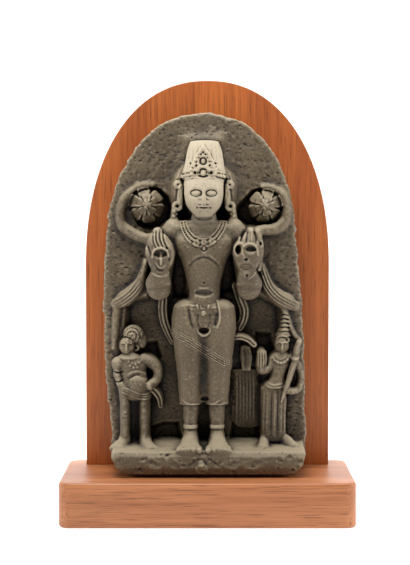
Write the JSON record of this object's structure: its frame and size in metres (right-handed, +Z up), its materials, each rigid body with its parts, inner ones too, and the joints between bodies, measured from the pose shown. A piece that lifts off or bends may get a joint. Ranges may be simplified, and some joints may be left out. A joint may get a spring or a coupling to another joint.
{
  "type": "carved stone stele on a wooden stand",
  "caption": "Arched stone stele carved in high relief with a standing sun god and attendants, on an oak base with an arched backboard.",
  "frame": {"origin": "on the underside of the wooden base, under the middle of the whole part", "axes": "+Z up, +X to the viewer's right, the carved front faces -Y"},
  "size_m": [0.38, 0.182, 0.576],
  "materials": {
    "stone": "dark grey-brown carved stone, worn and slightly polished on the high parts, dark in the recesses",
    "oak_board": "orange-brown stained oak, upright grain, satin",
    "oak_base": "orange-brown oak, grain along the width, satin"
  },
  "bodies": {
    "root": {"stone_stele": "stone", "wood_backboard": "oak_board", "wood_base": "oak_base"}
  },
  "joints": []
}
